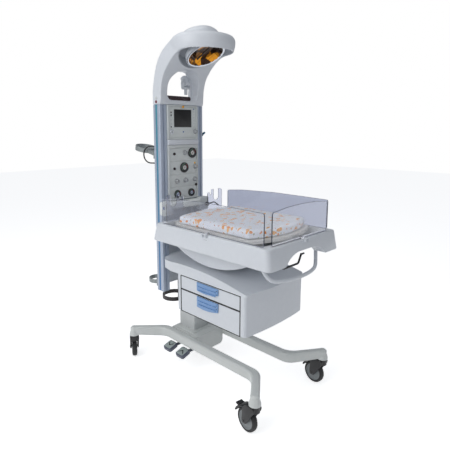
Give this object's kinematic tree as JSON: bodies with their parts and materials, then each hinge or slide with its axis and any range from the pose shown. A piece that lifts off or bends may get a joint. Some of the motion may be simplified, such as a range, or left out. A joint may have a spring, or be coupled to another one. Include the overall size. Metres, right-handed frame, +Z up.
{
  "type": "infant radiant warmer",
  "caption": "Wheeled infant care bed with clear drop sides, a lift column, side drawers and a mast whose curved arch holds a radiant heater above the mattress.",
  "frame": {"origin": "middle of the footprint at floor level", "axes": "+X across the bed to the right seen from the foot end, +Y along the bed to the mast, +Z up"},
  "size_m": [0.6762, 1.2056, 2.032],
  "materials": {
    "white_paint": "satin",
    "white_shell": "satin",
    "grey_shell": "satin",
    "rail_metal": "satin",
    "column_paint": "painted",
    "black_plastic": "satin",
    "slate_plastic": "satin",
    "blue_plastic": "gloss",
    "teal_plastic": "gloss",
    "tread": "satin",
    "clear_acrylic": "clear",
    "red_lens": "gloss",
    "reflector": "polished",
    "gauge_case": "satin",
    "cloth": "woven",
    "bottle_metal": "painted",
    "hose_rubber": "matt"
  },
  "bodies": {
    "base": {"left_leg": "white_paint", "right_leg": "white_paint", "base_hub": "white_paint", "column_outer": "column_paint"},
    "carriage": {"column_inner": "rail_metal", "chassis": "white_shell", "cabinet": "white_shell", "mast_rail_left": "rail_metal", "mast_rail_right": "rail_metal", "mast_spine": "white_shell", "display_unit": "white_shell", "gas_panel": "white_shell", "gauge_airway": "gauge_case", "gauge_suction": "gauge_case", "gauge_oxygen": "gauge_case", "gauge_air": "gauge_case", "crossbar": "grey_shell", "head_arch": "white_shell", "heater_dish": "reflector", "alarm_lens": "red_lens", "ring_upper": "bottle_metal", "ring_lower": "bottle_metal", "ring_foot": "bottle_metal", "hose_loop": "hose_rubber"},
    "bed": {"belly_pan": "white_shell", "bed_tray": "white_shell", "mattress_platform": "white_shell", "mattress": "cloth", "head_panel": "clear_acrylic", "push_handle": "rail_metal"},
    "caster_fl": {"caster_fork_fl": "black_plastic"},
    "wheel_fl": {"caster_wheel_fl": "tread"},
    "brake_fl": {"caster_brake_fl": "black_plastic"},
    "caster_fr": {"caster_fork_fr": "black_plastic"},
    "wheel_fr": {"caster_wheel_fr": "tread"},
    "brake_fr": {"caster_brake_fr": "black_plastic"},
    "caster_rl": {"caster_fork_rl": "black_plastic"},
    "wheel_rl": {"caster_wheel_rl": "tread"},
    "caster_rr": {"caster_fork_rr": "black_plastic"},
    "wheel_rr": {"caster_wheel_rr": "tread"},
    "pedal_down_arm": {"pedal_down": "slate_plastic"},
    "pedal_up_arm": {"pedal_up": "slate_plastic"},
    "drawer_upper_box": {"drawer_upper": "white_shell", "pull_upper": "blue_plastic"},
    "drawer_lower_box": {"drawer_lower": "white_shell", "pull_lower": "blue_plastic"},
    "display_knob_cap": {"display_knob": "grey_shell"},
    "knob_pressure_cap": {"knob_pressure": "grey_shell"},
    "knob_oxygen_cap": {"knob_oxygen": "grey_shell"},
    "knob_suction_cap": {"knob_suction": "grey_shell"},
    "knob_flow_cap": {"knob_flow": "grey_shell"},
    "knob_blender_cap": {"knob_blender": "grey_shell"},
    "bar_lever": {"crossbar_lever": "black_plastic"},
    "toggle": {"rail_toggle": "teal_plastic"},
    "lamp_yoke": {"lamp_fork": "white_shell"},
    "lamp_head": {"lamp_barrel": "white_shell"},
    "side_flap_left": {"side_panel_left": "clear_acrylic"},
    "side_flap_right": {"side_panel_right": "clear_acrylic"},
    "foot_flap": {"foot_panel": "clear_acrylic"},
    "tilt_bail": {"tilt_lever": "black_plastic"}
  },
  "joints": [
    {"name": "column_lift", "type": "slide", "parent": "base", "child": "carriage", "axis": [0, 0, 1], "range_m": [0, 0.3]},
    {"name": "bed_tilt", "type": "hinge", "parent": "carriage", "child": "bed", "pos_m": [-0.00084, -0.13082, 0.8], "axis": [1, 0, 0], "range_deg": [-12, 12]},
    {"name": "caster_swivel_fl", "type": "hinge", "parent": "base", "child": "caster_fl", "pos_m": [-0.30084, -0.53482, 0.1677], "axis": [0, 0, 1], "continuous": true},
    {"name": "wheel_spin_fl", "type": "hinge", "parent": "caster_fl", "child": "wheel_fl", "pos_m": [-0.2936, -0.48333, 0.0625], "axis": [0.9903, -0.1392, 0], "continuous": true},
    {"name": "brake_press_fl", "type": "hinge", "parent": "caster_fl", "child": "brake_fl", "pos_m": [-0.2872, -0.43777, 0.1175], "axis": [-0.9903, 0.1392, 0], "range_deg": [0, 14]},
    {"name": "caster_swivel_fr", "type": "hinge", "parent": "base", "child": "caster_fr", "pos_m": [0.29916, -0.53482, 0.1677], "axis": [0, 0, 1], "continuous": true},
    {"name": "wheel_spin_fr", "type": "hinge", "parent": "caster_fr", "child": "wheel_fr", "pos_m": [0.3046, -0.4831, 0.0625], "axis": [0.9945, -0.1045, 0], "continuous": true},
    {"name": "brake_press_fr", "type": "hinge", "parent": "caster_fr", "child": "brake_fr", "pos_m": [0.3094, -0.43736, 0.1175], "axis": [-0.9945, 0.1045, 0], "range_deg": [0, 14]},
    {"name": "caster_swivel_rl", "type": "hinge", "parent": "base", "child": "caster_rl", "pos_m": [-0.30084, 0.47318, 0.1677], "axis": [0, 0, 1], "continuous": true},
    {"name": "wheel_spin_rl", "type": "hinge", "parent": "caster_rl", "child": "wheel_rl", "pos_m": [-0.27484, 0.51821, 0.0625], "axis": [0.866, -0.5, 0], "continuous": true},
    {"name": "caster_swivel_rr", "type": "hinge", "parent": "base", "child": "caster_rr", "pos_m": [0.29916, 0.47318, 0.1677], "axis": [0, 0, 1], "continuous": true},
    {"name": "wheel_spin_rr", "type": "hinge", "parent": "caster_rr", "child": "wheel_rr", "pos_m": [0.27475, 0.51909, 0.0625], "axis": [0.8829, 0.4695, 0], "continuous": true},
    {"name": "pedal_down_press", "type": "hinge", "parent": "base", "child": "pedal_down_arm", "pos_m": [-0.07884, 0.25918, 0.118], "axis": [0, -1, 0], "range_deg": [0, 8], "stiffness_Nm_per_rad": 3, "springref_deg": -6.88},
    {"name": "pedal_up_press", "type": "hinge", "parent": "base", "child": "pedal_up_arm", "pos_m": [-0.07884, 0.14118, 0.118], "axis": [0, -1, 0], "range_deg": [0, 8], "stiffness_Nm_per_rad": 3, "springref_deg": -6.88},
    {"name": "drawer_upper_slide", "type": "slide", "parent": "carriage", "child": "drawer_upper_box", "axis": [-1, 0, 0], "range_m": [0, 0.3]},
    {"name": "drawer_lower_slide", "type": "slide", "parent": "carriage", "child": "drawer_lower_box", "axis": [-1, 0, 0], "range_m": [0, 0.3]},
    {"name": "display_knob_turn", "type": "hinge", "parent": "carriage", "child": "display_knob_cap", "pos_m": [0.09716, 0.31918, 1.453], "axis": [0, -1, 0], "continuous": true},
    {"name": "knob_pressure_turn", "type": "hinge", "parent": "carriage", "child": "knob_pressure_cap", "pos_m": [0.01016, 0.31918, 1.324], "axis": [0, -1, 0], "range_deg": [0, 270]},
    {"name": "knob_oxygen_turn", "type": "hinge", "parent": "carriage", "child": "knob_oxygen_cap", "pos_m": [0.09516, 0.31918, 1.234], "axis": [0, -1, 0], "range_deg": [0, 270]},
    {"name": "knob_suction_turn", "type": "hinge", "parent": "carriage", "child": "knob_suction_cap", "pos_m": [-0.05784, 0.31918, 1.151], "axis": [0, -1, 0], "range_deg": [0, 270]},
    {"name": "knob_flow_turn", "type": "hinge", "parent": "carriage", "child": "knob_flow_cap", "pos_m": [0.01316, 0.31918, 1.152], "axis": [0, -1, 0], "range_deg": [0, 270]},
    {"name": "knob_blender_turn", "type": "hinge", "parent": "carriage", "child": "knob_blender_cap", "pos_m": [0.09116, 0.31918, 1.154], "axis": [0, -1, 0], "range_deg": [0, 270]},
    {"name": "crossbar_lever_swing", "type": "hinge", "parent": "carriage", "child": "bar_lever", "pos_m": [0.16716, 0.29118, 0.986], "axis": [0, -1, 0], "range_deg": [-20, 80]},
    {"name": "rail_toggle_flip", "type": "hinge", "parent": "carriage", "child": "toggle", "pos_m": [0.17116, 0.34118, 1.432], "axis": [-1, 0, 0], "range_deg": [0, 60]},
    {"name": "lamp_swivel", "type": "hinge", "parent": "carriage", "child": "lamp_yoke", "pos_m": [0.04516, 0.34118, 1.64], "axis": [0, 0, 1], "range_deg": [-30, 30]},
    {"name": "lamp_tilt", "type": "hinge", "parent": "lamp_yoke", "child": "lamp_head", "pos_m": [0.04516, 0.34118, 1.75], "axis": [1, 0, 0], "range_deg": [-25, 20]},
    {"name": "side_panel_left_drop", "type": "hinge", "parent": "bed", "child": "side_flap_left", "pos_m": [-0.30284, -0.16582, 0.944], "axis": [0, -1, 0], "range_deg": [0, 180]},
    {"name": "side_panel_right_drop", "type": "hinge", "parent": "bed", "child": "side_flap_right", "pos_m": [0.30116, -0.16582, 0.944], "axis": [0, 1, 0], "range_deg": [0, 180]},
    {"name": "foot_panel_drop", "type": "hinge", "parent": "bed", "child": "foot_flap", "pos_m": [-0.00084, -0.59682, 0.944], "axis": [1, 0, 0], "range_deg": [0, 180]},
    {"name": "tilt_lever_pull", "type": "hinge", "parent": "bed", "child": "tilt_bail", "pos_m": [-0.00084, -0.50682, 0.826], "axis": [-1, 0, 0], "range_deg": [0, 22], "stiffness_Nm_per_rad": 0.6}
  ]
}
